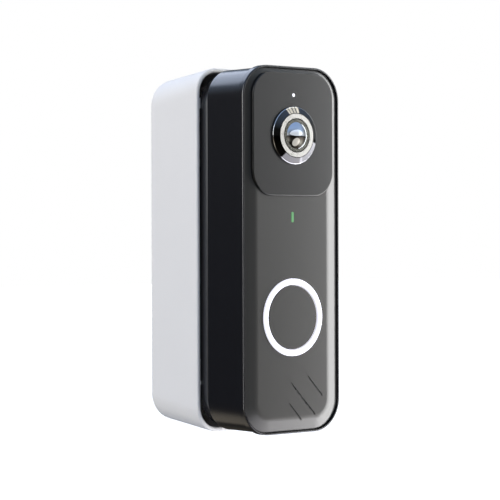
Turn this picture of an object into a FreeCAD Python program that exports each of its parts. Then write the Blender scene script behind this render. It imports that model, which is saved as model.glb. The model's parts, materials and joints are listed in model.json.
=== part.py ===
"""Battery video doorbell: a camera unit that slides forward off a hollow wall base.

The row frame has X to the right, Z up and the wall in the plane Y = 0. The doorbell stands off the wall
towards -Y, so every place along Y is written as a depth: the distance from the wall, in millimetres.
"""
import FreeCAD, Part
import math
import os
import Sketcher

doc = FreeCAD.newDocument("video_doorbell")

# ---------------------------------------------------------------------------------------------------
# Driving dimensions, in millimetres
# ---------------------------------------------------------------------------------------------------

DIMENSIONS = {
    # camera unit, outside
    "unit_width": 48.7,
    "unit_height": 140.0,
    "unit_corner": 12.5,
    "unit_depth": 27.5,
    "unit_nest": 2.1,
    "unit_rear_round": 1.8,
    "unit_rear_inset": 1.95,
    "unit_taper": 5.3,
    "unit_wall": 1.8,
    "unit_floor": 1.8,
    "unit_lip": 0.75,
    "unit_edge_round": 0.45,
    "frame_proud": 0.7,
    "frame_depth": 2.9,
    # wall base
    "base_depth": 34.3,
    "base_overhang": 0.35,
    "base_rim_corner": 9.8,
    "base_draft": 2.9,
    "base_back_corner": 11.0,
    "base_back_round": 3.0,
    "base_rim_round": 0.7,
    "base_wall": 1.7,
    "base_back_wall": 2.5,
    "locator_size": 4.2,
    "locator_place": 56.5,
    "stud_size": 1.6,
    "stud_place": -51.1,
    "locator_relief": 0.4,
    "locator_depth": 3.0,
    "mount_spacing_wide": 24.0,
    "mount_spacing_tall": 114.0,
    "mount_hole_radius": 2.2,
    "mount_boss_radius": 4.4,
    "mount_boss_depth": 2.0,
    "gasket_inset": 4.0,
    "gasket_width": 3.0,
    "gasket_thick": 0.8,
    "cable_place": 44.0,
    "cable_radius": 3.5,
    "grommet_wall": 2.5,
    "grommet_flange": 1.5,
    "terminal_width": 14.0,
    "terminal_height": 8.0,
    "terminal_depth": 9.0,
    "terminal_place": 57.5,
    "terminal_screw_radius": 1.1,
    "terminal_head_radius": 1.9,
    "terminal_head_thick": 1.2,
    "terminal_screw_reach": 6.3,
    # front cover and camera plate
    "cover_gap": 0.3,
    "cover_thick": 2.5,
    "cover_crown": 1.1,
    "cover_bevel": 5.1,
    "cover_crease_round": 9.0,
    "seal_thick": 0.4,
    "plate_width": 40.3,
    "plate_height": 47.0,
    "plate_corner": 9.5,
    "plate_place": 44.1,
    "plate_proud": 0.8,
    "plate_seat": 1.0,
    "plate_edge_round": 0.4,
    "fit_gap": 0.1,
    "weld_overlap": 0.1,
    "least_corner": 0.05,
    # lens and camera
    "lens_place": 43.55,
    "bezel_radius": 10.95,
    "bezel_proud": 2.0,
    "ring_outer_radius": 8.3,
    "ring_barrel_gap": 0.35,
    "ring_proud": 2.7,
    "barrel_radius": 6.2,
    "barrel_thread_radius": 5.9,
    "glass_radius": 5.1,
    "glass_dome": 2.1,
    "glass_slack": 0.02,
    "glass_seat": 2.6,
    "retaining_thick": 0.8,
    "barrel_shoulder": 0.6,
    "inner_lens_thick": 2.0,
    "inner_lens_0_rise": 1.5,
    "inner_lens_1_rise": 5.0,
    "lens_edge_round": 0.3,
    "camera_board_gap": 2.8,
    "holder_floor_height": 4.2,
    "holder_tube_height": 8.8,
    "holder_tube_wall": 1.6,
    "holder_corner": 1.5,
    "sensor_width": 9.0,
    "sensor_height": 8.0,
    "sensor_thick": 1.2,
    "sensor_pocket_margin": 2.0,
    "sensor_pocket_depth": 1.8,
    "camera_plug_width": 12.0,
    "camera_plug_height": 4.0,
    "holder_width": 24.0,
    "holder_height": 18.0,
    "filter_radius": 3.0,
    "filter_travel": 6.4,
    "filter_frame_width": 15.0,
    "filter_frame_height": 8.0,
    "filter_frame_thick": 0.9,
    "filter_rise": 2.3,
    "filter_glass_inset": 0.25,
    "filter_side_gap": 0.2,
    "filter_end_gap": 0.3,
    "sensor_dot_radius": 0.65,
    "sensor_dot_place": 58.95,
    "emitter_circle": 15.0,
    "emitter_size": 3.0,
    "emitter_port_radius": 2.25,
    "emitter_thick": 1.4,
    "emitter_board_gap": 3.1,
    "emitter_board_rim": 2.8,
    "emitter_pin_x": 16.0,
    "emitter_pin_radius": 1.2,
    "light_sensor_size": 2.0,
    "light_sensor_thick": 0.8,
    "status_width": 1.2,
    "status_corner": 0.59,
    "status_height": 4.0,
    "status_place": 12.5,
    "status_flange": 1.0,
    "status_led_size": 1.6,
    "status_led_thick": 0.8,
    # push button and its light ring
    "button_place": -25.7,
    "halo_outer_radius": 14.75,
    "halo_width": 2.25,
    "halo_proud": 0.65,
    "halo_edge": 0.35,
    "halo_flange": 1.5,
    "halo_flange_thick": 1.0,
    "halo_skirt": 0.4,
    "button_gap": 0.3,
    "button_edge": 0.3,
    "button_wall": 1.8,
    "button_flange": 1.5,
    "button_flange_thick": 0.8,
    "button_post_radius": 2.0,
    "membrane_gap": 0.4,
    "membrane_thick": 0.6,
    "membrane_stand": 1.2,
    "frame_inset": 0.55,
    "frame_wall": 1.8,
    "button_proud": 0.2,
    "button_travel": 0.5,
    "switch_size": 6.0,
    "switch_depth": 3.0,
    "switch_port": 5.1,
    "plunger_radius": 1.75,
    "plunger_proud": 0.7,
    "plunger_sunk": 1.2,
    "ring_led_size": 1.8,
    "ring_led_thick": 0.8,
    "flex_width": 6.0,
    "flex_thick": 0.3,
    "halo_led_count": 8.0,
    # boards, sound and fastenings
    "board_width": 40.0,
    "board_height": 112.0,
    "board_thick": 1.2,
    "board_standoff": 9.2,
    "board_screw_x": 17.0,
    "board_screw_z": 50.0,
    "case_screw_x": 15.8,
    "case_screw_z": 60.5,
    "case_boss_radius": 3.2,
    "case_screw_radius": 1.0,
    "case_head_radius": 2.0,
    "case_head_thick": 1.6,
    "case_head_recess": 2.6,
    "case_boss_height": 16.0,
    "case_screw_end_gap": 3.0,
    "cover_post_radius": 2.8,
    "board_corner": 2.0,
    "board_boss_radius": 2.2,
    "board_screw_radius": 0.8,
    "board_screw_reach": 5.0,
    "board_head_radius": 1.6,
    "board_head_thick": 1.0,
    "small_board_thick": 1.0,
    "shield_width": 24.0,
    "shield_height": 16.0,
    "shield_depth": 2.4,
    "shield_wall": 0.5,
    "shield_place": -4.0,
    "antenna_length": 22.0,
    "antenna_width": 9.0,
    "antenna_thick": 0.7,
    "antenna_rise": 12.0,
    "speaker_radius": 9.5,
    "speaker_x": 3.0,
    "speaker_seat": 1.8,
    "speaker_depth": 5.6,
    "speaker_flange": 1.6,
    "speaker_land": 1.25,
    "speaker_throat": 2.6,
    "speaker_vent": 1.5,
    "speaker_wall": 0.7,
    "speaker_back_radius": 5.4,
    "speaker_back_inner": 4.95,
    "cone_drop": 0.6,
    "cone_thick": 0.3,
    "cone_rise": 2.2,
    "dust_cap_rise": 0.4,
    "magnet_thick": 3.4,
    "speaker_place": -55.5,
    "groove_width": 0.7,
    "groove_depth": 0.3,
    "groove_slant": 46.0,
    "groove_0_x": 5.0,
    "groove_0_z": -57.0,
    "groove_0_length": 17.0,
    "groove_1_x": 1.2,
    "groove_1_z": -62.0,
    "groove_1_length": 9.0,
    "groove_2_x": 11.2,
    "groove_2_z": -52.4,
    "groove_2_length": 10.0,
    "sound_hole_radius": 0.28,
    "sound_hole_pitch": 2.6,
    "mic_x": -6.0,
    "mic_hole_radius": 0.6,
    "mic_rise": 13.0,
    "mic_width": 3.8,
    "mic_depth_size": 3.0,
    "mic_thick": 1.1,
    "mic_pad_size": 4.4,
    "mic_pad_thick": 0.6,
    # battery pack
    "cell_radius": 9.2,
    "cell_length": 65.0,
    "pack_wall": 1.0,
    "pack_place": -5.0,
    "pack_board_room": 7.0,
    "slide_plate_thick": 1.5,
    "slide_plate_lap": 1.2,
    "rail_gap": 0.2,
    "rail_thick": 1.0,
    "rail_lip": 0.8,
    "pack_corner": 3.0,
    "pack_edge_round": 2.0,
    "slide_plate_corner": 2.0,
    "pack_board_thick": 1.0,
    "pack_board_depth": 12.0,
    "pack_board_gap": 2.0,
    "contact_pitch": 5.0,
    "contact_pad_width": 3.0,
    "contact_pad_length": 6.0,
    "contact_pad_thick": 0.4,
    "contact_pad_rise": 8.0,
    "contact_thick": 0.5,
    "contact_spring_width": 2.0,
    "contact_block_width": 18.0,
    "contact_block_height": 7.0,
}

sheet = doc.addObject("Spreadsheet::Sheet", "sizes")


class Size:
    """A length that carries both its number and its expression over the sheet."""

    def __init__(self, text, number):
        self.text = text
        self.number = float(number)

    def __add__(self, other):
        other = as_size(other)
        return Size(f"({self.text} + {other.text})", self.number + other.number)

    def __sub__(self, other):
        other = as_size(other)
        return Size(f"({self.text} - {other.text})", self.number - other.number)

    def __mul__(self, other):
        other = as_size(other)
        return Size(f"({self.text} * {other.text})", self.number * other.number)

    def __truediv__(self, other):
        other = as_size(other)
        return Size(f"({self.text} / {other.text})", self.number / other.number)

    def __neg__(self):
        return self * -1

    __radd__ = __add__

    def __rmul__(self, other):
        return self * other


def as_size(value):
    """Take a plain number as a Size."""
    return value if isinstance(value, Size) else Size(f"({float(value)})", value)


def fill_sheet():
    """Write every driving dimension into the sheet and return it by name."""
    named = {}
    for row, (name, number) in enumerate(DIMENSIONS.items(), start=1):
        sheet.set(f"A{row}", name)
        sheet.set(f"B{row}", str(number))
        sheet.setAlias(f"B{row}", name)
        named[name] = Size(f"sizes.{name}", number)
    doc.recompute()
    return named


dim = fill_sheet()

# ---------------------------------------------------------------------------------------------------
# Outlines seen from the front, and the features made from them
# ---------------------------------------------------------------------------------------------------


class Outline:
    """A rounded rectangle facing the visitor."""

    def __init__(self, width, height, corner, x=0, z=0):
        self.width = as_size(width)
        self.height = as_size(height)
        self.corner = as_size(corner)
        self.x = as_size(x)
        self.z = as_size(z)

    def inset(self, amount):
        """The same outline moved in by an amount all round."""
        return Outline(self.width - as_size(amount) * 2, self.height - as_size(amount) * 2,
                       self.corner - amount, self.x, self.z)

    def draw(self, sketch):
        """Draw four sides and four corner arcs, held by their distances from the origin."""
        left = self.x - self.width / 2
        right = self.x + self.width / 2
        low = self.z - self.height / 2
        high = self.z + self.height / 2
        r = self.corner.number
        corners = [(right.number - r, low.number + r, -90), (right.number - r, high.number - r, 0),
                   (left.number + r, high.number - r, 90), (left.number + r, low.number + r, 180)]
        first = sketch.GeometryCount
        for x, z, start in corners:
            circle = Part.Circle(FreeCAD.Vector(x, z, 0), FreeCAD.Vector(0, 0, 1), r)
            sketch.addGeometry(Part.ArcOfCircle(circle, math.radians(start), math.radians(start + 90)), False)
        for step in range(4):
            arc_end = sketch.getPoint(first + step, 2)
            next_start = sketch.getPoint(first + (step + 1) % 4, 1)
            side = sketch.addGeometry(Part.LineSegment(arc_end, next_start), False)
            sketch.addConstraint(Sketcher.Constraint("Tangent", first + step, 2, side, 1))
            sketch.addConstraint(Sketcher.Constraint("Tangent", side, 2, first + (step + 1) % 4, 1))
        for step in (1, 2, 3):
            sketch.addConstraint(Sketcher.Constraint("Equal", first, first + step))
        hold(sketch, Sketcher.Constraint("Radius", first, r), self.corner)
        for side, kind, place in ((4, "DistanceX", right), (5, "DistanceY", high),
                                  (6, "DistanceX", left), (7, "DistanceY", low)):
            sketch.addConstraint(Sketcher.Constraint("Vertical" if kind == "DistanceX" else "Horizontal",
                                                     first + side))
            hold(sketch, Sketcher.Constraint(kind, -1, 1, first + side, 1, place.number), place)


class Disc:
    """A circle facing the visitor."""

    def __init__(self, radius, x=0, z=0):
        self.radius = as_size(radius)
        self.x = as_size(x)
        self.z = as_size(z)

    def draw(self, sketch):
        centre = FreeCAD.Vector(self.x.number, self.z.number, 0)
        circle = Part.Circle(centre, FreeCAD.Vector(0, 0, 1), self.radius.number)
        geo = sketch.addGeometry(circle, False)
        hold(sketch, Sketcher.Constraint("Radius", geo, self.radius.number), self.radius)
        hold(sketch, Sketcher.Constraint("DistanceX", -1, 1, geo, 3, self.x.number), self.x)
        hold(sketch, Sketcher.Constraint("DistanceY", -1, 1, geo, 3, self.z.number), self.z)


def box_outline(width, height, x=0, z=0):
    """A rectangle with only a slight corner."""
    return Outline(width, height, dim["least_corner"], x, z)


def hold(sketch, constraint, size):
    """Add a dimension to a sketch and bind it to its size."""
    index = sketch.addConstraint(constraint)
    name = f"held_{index}"
    sketch.renameConstraint(index, name)
    sketch.setExpression(f"Constraints.{name}", size.text)


def new_body(name):
    body = doc.addObject("PartDesign::Body", name)
    body.Label = name
    return body


def front_sketch(body, depth, shapes):
    """A sketch parallel to the wall at a depth. Its own x is +X, its own y is +Z, and it faces -Y."""
    sketch = body.newObject("Sketcher::SketchObject", "outline")
    plane = next(o for o in body.Origin.OriginFeatures if o.Role == "XZ_Plane")
    sketch.AttachmentSupport = [(plane, "")]
    sketch.MapMode = "FlatFace"
    sketch.setExpression("AttachmentOffset.Base.z", as_size(depth).text)
    for shape in shapes:
        shape.draw(sketch)
    return sketch


def add_layer(body, rear, front, *shapes):
    """Pad an outline from the depth rear to the depth front; inner outlines are holes."""
    pad = body.newObject("PartDesign::Pad", "layer")
    pad.Profile = front_sketch(body, rear, shapes)
    pad.setExpression("Length", (as_size(front) - rear).text)
    return finish_feature(body, pad)


def cut_layer(body, rear, front, *shapes):
    """Pocket an outline from the depth front back to the depth rear."""
    before = body.Shape.Volume
    pocket = body.newObject("PartDesign::Pocket", "recess")
    pocket.Profile = front_sketch(body, front, shapes)
    pocket.setExpression("Length", (as_size(front) - rear).text)
    finish_feature(body, pocket)
    if body.Shape.Volume >= before:
        raise RuntimeError(f"a recess in {body.Label} cuts nothing")
    return pocket


def finish_feature(body, feature):
    """Make a feature the body's tip, and stop if it failed."""
    body.Tip = feature
    doc.recompute()
    if "Invalid" in feature.State or "Error" in feature.State:
        raise RuntimeError(f"{feature.Label} of {body.Label} failed: {feature.State}")
    return feature


def loft(body, kind, rear, rear_outline, front, front_outline):
    """A straight-sided loft between two outlines, added or taken away."""
    feature = body.newObject(f"PartDesign::{kind}", "taper")
    feature.Profile = front_sketch(body, rear, [rear_outline])
    feature.Sections = [front_sketch(body, front, [front_outline])]
    feature.Ruled = True
    return finish_feature(body, feature)


def edges_at_depth(shape, depth, inside=None):
    """Names of the edges that lie in the plane at a depth, within a half-width and half-height."""
    names = []
    for index, edge in enumerate(shape.Edges, start=1):
        box = edge.BoundBox
        flat = abs(box.YMin + depth.number) < 1e-4 and abs(box.YMax + depth.number) < 1e-4
        half_width, half_height = inside or (math.inf, math.inf)
        near = max(abs(box.XMin), abs(box.XMax)) < half_width and max(abs(box.ZMin), abs(box.ZMax)) < half_height
        if flat and near:
            names.append(f"Edge{index}")
    return names


def round_edges(body, depth, radius, inside=None):
    """Fillet every edge that lies at a depth."""
    base = body.Tip
    fillet = body.newObject("PartDesign::Fillet", "rounding")
    fillet.Base = (base, edges_at_depth(base.Shape, depth, inside))
    fillet.setExpression("Radius", radius.text)
    return finish_feature(body, fillet)


def turned(name, profile, x=0, z=0):
    """A solid of revolution about an axis square to the wall; profile is (depth, radius) points.

    A third entry in a point is the rise of an arc that ends there, counted towards the visitor.
    """
    body = new_body(name)
    sketch = body.newObject("Sketcher::SketchObject", "profile")
    plane = next(o for o in body.Origin.OriginFeatures if o.Role == "YZ_Plane")
    sketch.AttachmentSupport = [(plane, "")]
    sketch.MapMode = "FlatFace"
    sketch.setExpression("AttachmentOffset.Base.y", as_size(z).text)
    sketch.setExpression("AttachmentOffset.Base.z", as_size(x).text)
    places = [(-as_size(point[0]), as_size(point[1])) for point in profile]
    vectors = [FreeCAD.Vector(along.number, radius.number, 0) for along, radius in places]
    for index, vector in enumerate(vectors):
        sketch.addGeometry(Part.LineSegment(vector, vectors[(index + 1) % len(vectors)]), False)
    for index, (along, radius) in enumerate(places):
        before = (index - 1) % len(places)
        sketch.addConstraint(Sketcher.Constraint("Coincident", before, 2, index, 1))
        hold(sketch, Sketcher.Constraint("DistanceX", -1, 1, index, 1, along.number), along)
        hold(sketch, Sketcher.Constraint("DistanceY", -1, 1, index, 1, radius.number), radius)
    spin = body.newObject("PartDesign::Revolution", "spin")
    spin.Profile = sketch
    spin.ReferenceAxis = (sketch, ["H_Axis"])
    spin.Angle = 360
    finish_feature(body, spin)
    return body


# ---------------------------------------------------------------------------------------------------
# Plain primitives
# ---------------------------------------------------------------------------------------------------

TO_VISITOR = FreeCAD.Rotation(FreeCAD.Vector(1, 0, 0), 90)


def place(shape, x, y, z):
    """Bind the position of a primitive."""
    for axis, size in zip("xyz", (x, y, z)):
        shape.setExpression(f"Placement.Base.{axis}", as_size(size).text)


def rod(name, radius, rear, front, x=0, z=0):
    """A cylinder square to the wall."""
    shape = doc.addObject("Part::Cylinder", name)
    shape.Placement = FreeCAD.Placement(FreeCAD.Vector(), TO_VISITOR)
    shape.setExpression("Radius", as_size(radius).text)
    shape.setExpression("Height", (as_size(front) - rear).text)
    place(shape, x, -as_size(rear), z)
    return shape


def upright(name, radius, low, high, x, depth):
    """A cylinder along Z."""
    shape = doc.addObject("Part::Cylinder", name)
    shape.setExpression("Radius", as_size(radius).text)
    shape.setExpression("Height", (as_size(high) - low).text)
    place(shape, x, -as_size(depth), low)
    return shape


def block(name, width, height, rear, front, x=0, z=0):
    """A box centred on x and z, between two depths."""
    shape = doc.addObject("Part::Box", name)
    shape.setExpression("Length", as_size(width).text)
    shape.setExpression("Width", (as_size(front) - rear).text)
    shape.setExpression("Height", as_size(height).text)
    place(shape, as_size(x) - as_size(width) / 2, -as_size(front), as_size(z) - as_size(height) / 2)
    return shape


def group(name, shapes):
    """Several separate solids, or one made of several, under one name."""
    fused = doc.addObject("Part::MultiFuse", name)
    fused.Shapes = shapes
    return named(fused, name)


def less(name, whole, *tools):
    """A solid with others taken away."""
    for index, tool in enumerate(tools):
        cut = doc.addObject("Part::Cut", f"{name}_cut_{index}")
        cut.Base = whole
        cut.Tool = tool
        whole = cut
    return named(whole, name)


def named(shape, name):
    shape.Label = name
    return shape


def four_corners(x, z):
    """The four places at plus and minus x and z."""
    return [(x * side, z * end) for end in (1, -1) for side in (-1, 1)]


def screws(name, places, head_rear, head_front, head_radius, shank_end, shank_radius):
    """One screw at each place, with its head between two depths and its shank running to shank_end."""
    shank_rear, shank_front = ((head_front, shank_end) if as_size(shank_end).number > as_size(head_front).number
                               else (shank_end, head_rear))
    pieces = []
    for index, (x, z) in enumerate(places):
        head = rod(f"{name}_head_{index}", head_radius, head_rear, head_front, x, z)
        shank = rod(f"{name}_shank_{index}", shank_radius, shank_rear, shank_front, x, z)
        pieces += [head, shank]
    return group(name, pieces)


# ---------------------------------------------------------------------------------------------------
# Shared outlines and depths
# ---------------------------------------------------------------------------------------------------

unit_outline = Outline(dim["unit_width"], dim["unit_height"], dim["unit_corner"])
shell_outline = unit_outline.inset(dim["frame_proud"])
rear_shrink = dim["unit_rear_inset"] * 2
rear_outline = Outline(dim["unit_width"] - rear_shrink, dim["unit_height"] - rear_shrink, dim["unit_corner"])
rim_width = dim["unit_width"] + dim["base_overhang"] * 2
rim_height = dim["unit_height"] + dim["base_overhang"] * 2
rim_outline = Outline(rim_width, rim_height, dim["base_rim_corner"])
back_outline = Outline(rim_width - dim["base_draft"] * 2, rim_height - dim["base_draft"] * 2,
                       dim["base_back_corner"])

rim_depth = dim["base_depth"]
face_depth = rim_depth + dim["unit_depth"]
shell_rear = rim_depth - dim["unit_nest"]
shell_floor = shell_rear + dim["unit_floor"]
taper_front = rim_depth + dim["unit_taper"]
cover_rear = face_depth - dim["cover_thick"]
ledge_depth = cover_rear - dim["seal_thick"]
plate_floor = face_depth - dim["plate_seat"]
plate_front = face_depth + dim["plate_proud"]
board_rear = shell_floor + dim["board_standoff"]
board_front = board_rear + dim["board_thick"]

pack_front = shell_rear - dim["rail_gap"]
pack_lid_rear = pack_front - dim["slide_plate_thick"]
cell_room = dim["cell_radius"] * 2 + dim["fit_gap"]
pack_rear = pack_lid_rear - cell_room - dim["pack_wall"]
pack_width = cell_room * 2 + dim["fit_gap"] + dim["pack_wall"] * 2
pack_height = dim["cell_length"] + dim["pack_board_room"] + dim["pack_wall"] * 2
pack_top = dim["pack_place"] + pack_height / 2
slide_plate_width = pack_width + dim["slide_plate_lap"] * 2

mount_places = four_corners(dim["mount_spacing_wide"] / 2, dim["mount_spacing_tall"] / 2)
case_screw_places = four_corners(dim["case_screw_x"], dim["case_screw_z"])
board_screw_places = four_corners(dim["board_screw_x"], dim["board_screw_z"])

# ---------------------------------------------------------------------------------------------------
# Wall base
# ---------------------------------------------------------------------------------------------------


def make_base_shell():
    """The white tapered tray: open to the front, with its fixing bosses and locating pads."""
    body = new_body("base_shell")
    loft(body, "AdditiveLoft", as_size(0), back_outline, rim_depth, rim_outline)
    round_edges(body, as_size(0), dim["base_back_round"])
    floor_share = dim["base_back_wall"] / rim_depth
    inner_back = back_outline.inset(dim["base_wall"] - dim["base_draft"] * floor_share)
    loft(body, "SubtractiveLoft", dim["base_back_wall"], inner_back, rim_depth, rim_outline.inset(dim["base_wall"]))
    round_edges(body, rim_depth, dim["base_rim_round"])
    for x, z in mount_places:
        add_layer(body, dim["base_back_wall"], dim["base_back_wall"] + dim["mount_boss_depth"],
                  Disc(dim["mount_boss_radius"], x, z))
    boss_top = dim["base_back_wall"] + dim["mount_boss_depth"]
    cut_layer(body, as_size(0), boss_top, *[Disc(dim["mount_hole_radius"], x, z) for x, z in mount_places])
    cut_layer(body, as_size(0), boss_top, Disc(dim["cable_radius"] + dim["grommet_wall"], 0, dim["cable_place"]))
    recess = back_outline.inset(dim["gasket_inset"])
    cut_layer(body, as_size(0), dim["gasket_thick"], recess, recess.inset(dim["gasket_width"]))
    add_locators(body)
    return body


def add_locators(body):
    """Small pads inside the rim that centre the camera unit, a square pair above and a stud pair below."""
    front = rim_depth - dim["locator_relief"]
    inner_half = rim_width / 2 - dim["base_wall"]
    slope = dim["base_draft"] / rim_depth
    bury = slope * (dim["locator_depth"] + dim["locator_relief"]) + dim["base_wall"] / 2
    width = dim["locator_relief"] + bury
    for tall, z in ((dim["locator_size"], dim["locator_place"]), (dim["stud_size"], dim["stud_place"])):
        for side in (-1, 1):
            x = (inner_half - dim["locator_relief"] + width / 2) * side
            pad = Outline(width, tall, dim["stud_size"] / 5, x, z)
            add_layer(body, front - dim["locator_depth"], front, pad)


def make_wall_gasket():
    """A foam frame set flush into the back of the base."""
    body = new_body("wall_gasket")
    outer = back_outline.inset(dim["gasket_inset"])
    add_layer(body, as_size(0), dim["gasket_thick"], outer, outer.inset(dim["gasket_width"]))


def make_cable_grommet():
    """The rubber grommet that the bell wires come through."""
    bore = dim["cable_radius"]
    outer = bore + dim["grommet_wall"]
    flange = outer + dim["grommet_flange"]
    wall = dim["base_back_wall"]
    lip = wall + dim["grommet_flange"]
    turned("cable_grommet", [(0, bore), (0, outer), (wall, outer), (wall, flange), (lip, flange), (lip, bore)],
           z=dim["cable_place"])


def make_terminals():
    """A two-way terminal block for optional bell wires, with its screws."""
    rear = dim["base_back_wall"]
    front = rear + dim["terminal_depth"]
    places = [(dim["terminal_width"] / 4 * side, dim["terminal_place"]) for side in (-1, 1)]
    shaft = dim["terminal_screw_reach"]
    whole = block("terminal_blank", dim["terminal_width"], dim["terminal_height"], rear, front,
                  z=dim["terminal_place"])
    holes = [rod(f"terminal_hole_{i}", dim["terminal_screw_radius"], front - shaft, front, x, z)
             for i, (x, z) in enumerate(places)]
    less("terminal_block", whole, *holes)
    screws("terminal_screws", places, front, front + dim["terminal_head_thick"], dim["terminal_head_radius"],
           front - shaft, dim["terminal_screw_radius"])


# ---------------------------------------------------------------------------------------------------
# Camera unit: shell, seal and cover
# ---------------------------------------------------------------------------------------------------


def make_body_shell():
    """The black rear case: a deep cup with bosses, battery rails and a lip round the front cover."""
    body = new_body("body_shell")
    add_layer(body, shell_rear, rim_depth, rear_outline)
    loft(body, "AdditiveLoft", rim_depth, rear_outline, taper_front, shell_outline)
    add_layer(body, taper_front, lip_depth - dim["frame_depth"], shell_outline)
    add_layer(body, lip_depth - dim["frame_depth"], lip_depth, unit_outline)
    round_edges(body, shell_rear, dim["unit_rear_round"])
    round_edges(body, lip_depth, dim["unit_edge_round"])
    inner = unit_outline.inset(dim["unit_wall"])
    side_wall = dim["unit_wall"] - dim["frame_proud"]
    cut_layer(body, shell_floor, taper_front, rear_outline.inset(side_wall))
    cut_layer(body, taper_front, face_depth, inner)
    cut_layer(body, ledge_depth, face_depth, unit_outline.inset(dim["unit_lip"]))
    add_unit_bosses(body)
    add_battery_rails(body)
    return body


def add_unit_bosses(body):
    """Bosses for the case screws and standoffs for the main board, then the microphone hole."""
    for x, z in case_screw_places:
        add_layer(body, shell_floor - dim["weld_overlap"], case_boss_top, Disc(dim["case_boss_radius"], x, z))
    for x, z in board_screw_places:
        add_layer(body, shell_floor - dim["weld_overlap"], board_rear, Disc(dim["board_boss_radius"], x, z))
    cut_layer(body, shell_rear, case_boss_top, *[Disc(dim["case_screw_radius"] + dim["fit_gap"], x, z)
                                                 for x, z in case_screw_places])
    cut_layer(body, shell_rear, case_head_floor, *[Disc(dim["case_head_radius"] + dim["fit_gap"] * 2, x, z)
                                                   for x, z in case_screw_places])
    cut_layer(body, board_pilot_rear, board_rear, *[Disc(dim["board_screw_radius"], x, z) for x, z in board_screw_places])
    add_mic_hole(body)


def add_mic_hole(body):
    """A pinhole through the bottom wall for the microphone."""
    sketch = body.newObject("Sketcher::SketchObject", "pinhole")
    plane = next(o for o in body.Origin.OriginFeatures if o.Role == "XY_Plane")
    sketch.AttachmentSupport = [(plane, "")]
    sketch.MapMode = "FlatFace"
    sketch.setExpression("AttachmentOffset.Base.z", (-(dim["unit_height"] / 2)).text)
    Disc(dim["mic_hole_radius"], dim["mic_x"], -mic_depth).draw(sketch)
    before = body.Shape.Volume
    pocket = body.newObject("PartDesign::Pocket", "pinhole_cut")
    pocket.Profile = sketch
    pocket.Reversed = True
    pocket.setExpression("Length", (dim["unit_wall"] * 2).text)
    finish_feature(body, pocket)
    if body.Shape.Volume >= before:
        raise RuntimeError("the microphone hole cuts nothing")


def add_battery_rails(body):
    """Two L-shaped rails on the back that the battery's slide plate hangs in."""
    flange_in = slide_plate_width / 2 + dim["rail_gap"]
    flange_out = flange_in + dim["rail_thick"]
    lip_in = flange_in - dim["rail_lip"] - dim["rail_gap"]
    lip_front = pack_lid_rear - dim["rail_gap"]
    lip_rear = lip_front - dim["rail_thick"]
    root = shell_rear + dim["unit_floor"]
    for side in (-1, 1):
        flange = box_outline(dim["rail_thick"], pack_height, (flange_in + flange_out) / 2 * side, dim["pack_place"])
        add_layer(body, lip_rear, root, flange)
        lip_out = flange_out - dim["rail_thick"] / 2
        lip = box_outline(lip_out - lip_in, pack_height, (lip_out + lip_in) / 2 * side, dim["pack_place"])
        add_layer(body, lip_rear, lip_front, lip)


lip_depth = face_depth - dim["cover_gap"]
board_pilot_rear = board_rear - dim["board_screw_reach"]
case_boss_top = shell_floor + dim["case_boss_height"]
case_head_floor = shell_rear + dim["case_head_recess"]
mic_depth = shell_floor + dim["mic_rise"]
cover_outline = unit_outline.inset(dim["unit_lip"] + dim["cover_gap"])
crown_outline = cover_outline.inset(dim["cover_bevel"])
plate_outline = Outline(dim["plate_width"], dim["plate_height"], dim["plate_corner"], 0, dim["plate_place"])
emitter_places = [(dim["emitter_circle"] * math.cos(math.radians(turn)),
                   dim["lens_place"] + dim["emitter_circle"] * math.sin(math.radians(turn)))
                  for turn in (45, 135, 225, 315)]
barrel_clearance = dim["barrel_radius"] + dim["fit_gap"] * 2


def make_case_gasket():
    """The silicone ring squeezed between the shell's ledge and the front cover."""
    body = new_body("case_gasket")
    outer = unit_outline.inset(dim["unit_lip"] + dim["fit_gap"])
    add_layer(body, ledge_depth, cover_rear, outer, unit_outline.inset(dim["unit_wall"] - dim["fit_gap"]))


def make_front_cover():
    """The grey front: a flat face with a broad bevel, and every opening that the front pieces need."""
    body = new_body("front_cover")
    shoulder = face_depth - dim["cover_crown"]
    add_layer(body, cover_rear, shoulder, cover_outline)
    loft(body, "AdditiveLoft", shoulder, cover_outline, face_depth, crown_outline)
    round_edges(body, face_depth, dim["cover_crease_round"])
    cut_layer(body, plate_floor, plate_front, fitted(plate_outline))
    cut_layer(body, cover_rear, plate_front, Disc(barrel_clearance, 0, dim["lens_place"]))
    cut_layer(body, cover_rear, plate_front, Disc(dim["sensor_dot_radius"] * 2 + dim["fit_gap"], 0,
                                                  dim["sensor_dot_place"]))
    cut_layer(body, cover_rear, plate_front, *[Disc(dim["emitter_port_radius"], x, z) for x, z in emitter_places])
    cut_layer(body, cover_rear, plate_front, Disc(dim["halo_outer_radius"] + dim["fit_gap"], 0,
                                                  dim["button_place"]))
    cut_layer(body, cover_rear, plate_front, fitted(status_outline()))
    for x, z in case_screw_places:
        add_layer(body, case_boss_top + dim["fit_gap"] * 2, cover_rear + dim["weld_overlap"], Disc(dim["cover_post_radius"], x, z),
                  Disc(dim["case_screw_radius"], x, z))
    for side in (-1, 1):
        add_layer(body, ir_board_front, cover_rear + dim["weld_overlap"], Disc(dim["emitter_pin_radius"], dim["emitter_pin_x"] * side,
                                                               dim["lens_place"]))
    add_speaker_grooves(body)
    return body


def fitted(outline):
    """The opening that an outline drops into."""
    return outline.inset(-dim["fit_gap"])


def status_outline():
    return Outline(dim["status_width"], dim["status_height"], dim["status_corner"], 0, dim["status_place"])


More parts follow.
